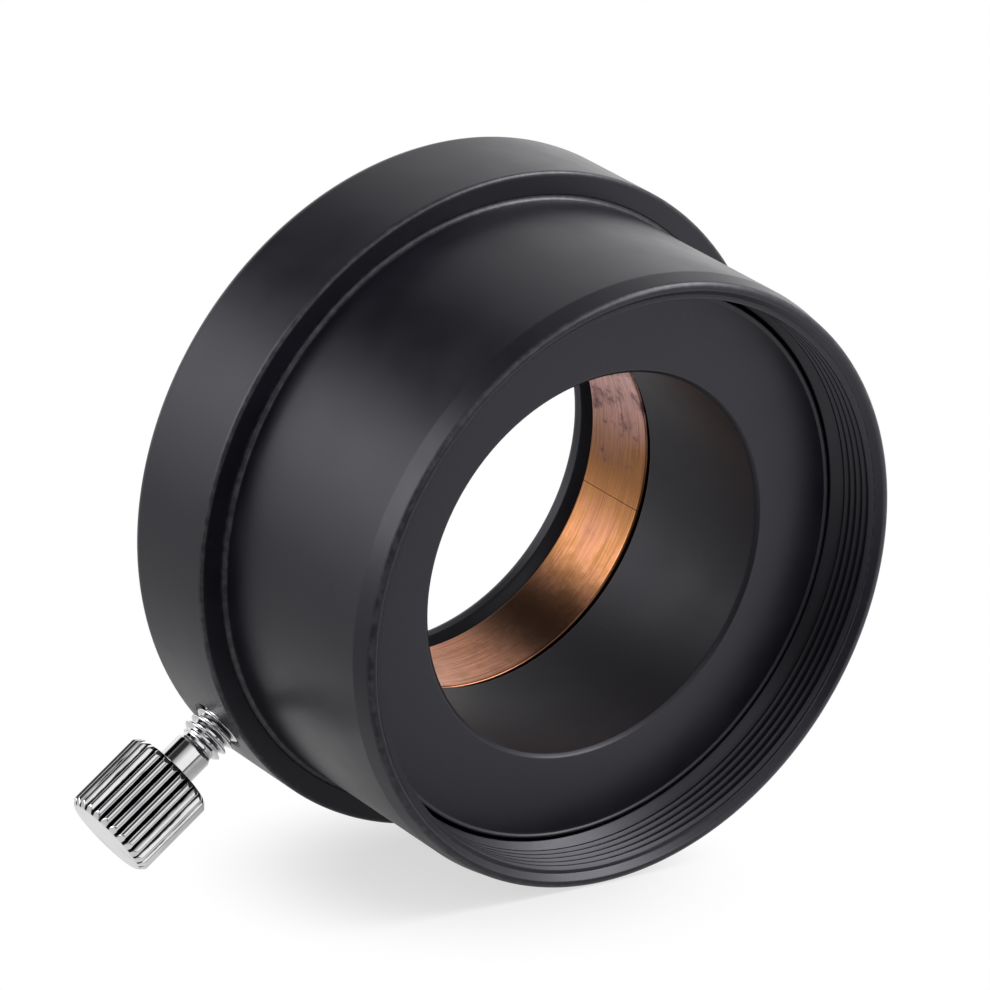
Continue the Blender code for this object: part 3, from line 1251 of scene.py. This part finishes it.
@dataclass
class Studio:
    """A white table top under soft light, and a long lens.

    In reflections the room is white, with a dim ceiling, three dark patches and a light one on its walls,
    and two soft boxes. The table is dimmer there behind the adapter, on its near side and close to it.
    """

    azimuth: float = radians(-36.87)
    elevation: float = radians(15.33)
    roll: float = radians(1.48)
    distance: float = 0.520
    aim: Place = (0.00074, 0.00078, 0.02916)
    lens: float = 239.9
    clip_start: float = 0.01
    floor_radius: float = 0.45
    floor_colour: Colour = (0.90, 0.90, 0.90)
    floor_roughness: float = 0.9
    floor_glow: float = 0.64
    glow_centre: Place = (-0.004, -0.004, 0.0)
    glow_start: float = 0.008
    glow_end: float = 0.024
    shade_end: float = 0.036
    shade_level: float = 0.5
    far_direction: Place = (-0.62, 0.78, 0.0)
    far_end: float = 0.07
    far_level: float = 0.55
    near_direction: Place = (-0.8, -0.6, 0.0)
    near_start: float = 0.010
    near_end: float = 0.042
    near_front_start: float = 0.03
    near_front_end: float = -0.01
    near_level: float = 0.15
    ambient: float = 0.75
    ceiling_start: float = 0.5
    ceiling_end: float = 0.9
    ceiling_level: float = 0.3
    wall_patches: tuple[Patch, ...] = (
        Patch((-0.25, 0.64, 0.72), 10.0, 26.0, 0.0),
        Patch((-0.72, -0.68, 0.05), 15.0, 32.0, 0.1),
        Patch((-0.52, 0.02, 0.86), 10.0, 24.0, 0.1),
        Patch((0.66, 0.75, 0.0), 8.0, 21.0, 1.4),
    )
    soft_boxes: tuple[Patch, ...] = (
        Patch((-0.80, 0.40, 0.43), 15.0, 24.0, 2.7),
        Patch((0.55, -0.64, 0.53), 14.0, 21.0, 4.5),
    )
    lamp_power: float = 1.55
    lamp_size: float = 0.30
    lamp_place: Place = (0.35, -0.15, 0.45)

    def backwards(self) -> Vector:
        """The direction from the aim to the camera."""
        level = cos(self.elevation)
        return Vector((sin(self.azimuth) * level, -cos(self.azimuth) * level, sin(self.elevation)))

    def add_camera(self) -> None:
        """Set up the camera at the photograph's viewing angle."""
        back = self.backwards()
        right = Vector((cos(self.azimuth), sin(self.azimuth), 0.0))
        turn = Matrix((right, back.cross(right), back)).transposed() @ Matrix.Rotation(self.roll, 3, "Z")
        data = bpy.data.cameras.new("long_lens")
        data.lens = self.lens
        data.clip_start = self.clip_start
        camera = bpy.data.objects.new("long_lens", data)
        camera.matrix_world = Matrix.Translation(Vector(self.aim) + back * self.distance) @ turn.to_4x4()
        bpy.context.scene.collection.objects.link(camera)
        bpy.context.scene.camera = camera

    def add_floor(self) -> None:
        """Lay a white disc under the adapter, which fades into the white around it."""
        disc = bmesh.new()
        bmesh.ops.create_circle(disc, cap_ends=True, segments=FLOOR_STEPS, radius=self.floor_radius)
        mesh = bpy.data.meshes.new("table_top")
        disc.to_mesh(mesh)
        disc.free()
        floor = bpy.data.objects.new("table_top", mesh)
        bpy.context.scene.collection.objects.link(floor)
        material = bpy.data.materials.new("white_table")
        material.use_nodes = True
        mesh.materials.append(material)
        bench = Bench(material.node_tree)
        shader = material.node_tree.nodes["Principled BSDF"]
        shader.inputs["Base Color"].default_value = opaque(self.floor_colour)
        shader.inputs["Roughness"].default_value = self.floor_roughness
        shader.inputs["Specular IOR Level"].default_value = 0.0
        position = bench.node("TexCoord", {}).outputs["Object"]
        centre = {0: position, 1: self.glow_centre}
        reach = bench.node("VectorMath", centre, operation="DISTANCE").outputs["Value"]
        fade = bench.span(reach, self.glow_start, self.glow_end, self.floor_glow, 1.0)
        light = bench.node("LightPath", {})
        glossy = light.outputs["Is Glossy Ray"]
        seen = bench.maths("MAXIMUM", light.outputs["Is Camera Ray"], glossy)
        mirrored = bench.maths("SUBTRACT", self.mirrored_floor(bench, position, reach), 1.0)
        level = bench.maths("MULTIPLY_ADD", mirrored, glossy, 1.0)
        white = bench.node("Emission", {"Color": (1.0, 1.0, 1.0, 1.0), "Strength": level})
        share = bench.maths("MULTIPLY", fade, seen)
        mixed = bench.node("MixShader", {0: share, 1: shader.outputs[0], 2: white.outputs[0]})
        output = material.node_tree.nodes["Material Output"]
        bench.feed(output.inputs["Surface"], mixed.outputs[0])

    def mirrored_floor(self, bench: Bench, position: Feed, reach: Feed) -> bpy.types.NodeSocket:
        """Work out how light the table is in reflections.

        Args:
            bench: The table's bench.
            position: The socket of the place on the table, in metres.
            reach: The socket of its distance from the adapter.

        Returns:
            The socket of the level.
        """
        far = bench.span(bench.dot(position, self.far_direction), 0.0, self.far_end, 1.0, self.far_level)
        beside = bench.span(bench.dot(position, self.near_direction), self.near_start, self.near_end)
        depth = bench.dot(position, (0.0, 1.0, 0.0))
        loss = self.near_level - 1.0
        before = bench.span(depth, self.near_front_start, self.near_front_end, 0.0, loss)
        near = bench.maths("MULTIPLY_ADD", beside, before, 1.0)
        shaded = bench.span(reach, self.glow_start, self.shade_end, self.shade_level, 1.0)
        return bench.maths("MULTIPLY", bench.maths("MULTIPLY", far, near), shaded)

    def mirrored_room(self, bench: Bench) -> bpy.types.NodeSocket:
        """Work out how light the room is in reflections.

        Args:
            bench: The world's bench.

        Returns:
            The socket of the level.
        """
        direction = bench.node("TexCoord", {}).outputs["Generated"]
        height = bench.dot(direction, (0.0, 0.0, 1.0))
        room = bench.span(height, self.ceiling_start, self.ceiling_end, 1.0, self.ceiling_level)
        for patch in self.wall_patches:
            room = bench.maths("MULTIPLY", room, patch.fade(bench, direction, 1.0))
        for box in self.soft_boxes:
            room = bench.maths("ADD", room, box.fade(bench, direction, 0.0))
        return room

    def add_world(self) -> None:
        """Surround the adapter with white, and with the room in its reflections."""
        world = bpy.data.worlds.new("white_room")
        bpy.context.scene.world = world
        world.use_nodes = True
        bench = Bench(world.node_tree)
        light = bench.node("LightPath", {})
        seen = bench.maths("MAXIMUM", light.outputs["Is Camera Ray"], light.outputs["Is Transmission Ray"])
        plain = bench.maths("MULTIPLY_ADD", seen, 1.0 - self.ambient, self.ambient)
        glossy = light.outputs["Is Glossy Ray"]
        mirrored = bench.maths("MULTIPLY", self.mirrored_room(bench), glossy)
        level = bench.maths("MULTIPLY_ADD", plain, bench.maths("SUBTRACT", 1.0, glossy), mirrored)
        background = world.node_tree.nodes["Background"]
        background.inputs["Color"].default_value = (1.0, 1.0, 1.0, 1.0)
        bench.feed(background.inputs["Strength"], level)

    def add_lamp(self) -> None:
        """Hang a soft lamp above the table, which lights the turned edges and throws the shadow."""
        data = bpy.data.lights.new("soft_lamp", "AREA")
        data.shape = "DISK"
        data.size = self.lamp_size
        data.energy = self.lamp_power
        lamp = bpy.data.objects.new("soft_lamp", data)
        place = Vector(self.lamp_place)
        turn = place.to_track_quat("Z", "Y").to_matrix().to_4x4()
        lamp.matrix_world = Matrix.Translation(place) @ turn
        lamp.visible_camera = False
        bpy.context.scene.collection.objects.link(lamp)

    def build(self) -> None:
        """Set up the camera, the table, the light and the view."""
        self.add_camera()
        self.add_floor()
        self.add_world()
        self.add_lamp()
        bpy.context.scene.view_settings.view_transform = "Standard"


def main() -> None:
    """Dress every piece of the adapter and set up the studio."""
    logging.basicConfig(level=logging.INFO, format="%(message)s")
    axes = AdapterAxes.from_record(frame["record"])
    effects = Effects()
    holder_finish = BlackAnodised("holder_satin_black", (0.0052, 0.0050, 0.0085), matt_radius=16.0)
    barrel_finish = BlackAnodised("barrel_satin_black", (0.0055, 0.0053, 0.0090))
    holder_black = holder_finish.material(axes.optical, effects)
    barrel_black = barrel_finish.material(axes.optical, effects)
    brass = BrushedBrass("brushed_brass").material(axes.optical, effects)
    shank_chrome = BrightChrome("shank_chrome").material(axes.screw, effects)
    head_chrome = BrightChrome("knob_chrome").material(axes.screw, effects)

    NoseBarrel().build(axes, barrel_black)
    EyepieceHolder().build(axes, holder_black)
    ClampRing().build(axes, brass)
    ThumbScrew().build(axes, shank_chrome, head_chrome)
    Studio().build()


if __name__ == "__main__":
    main()
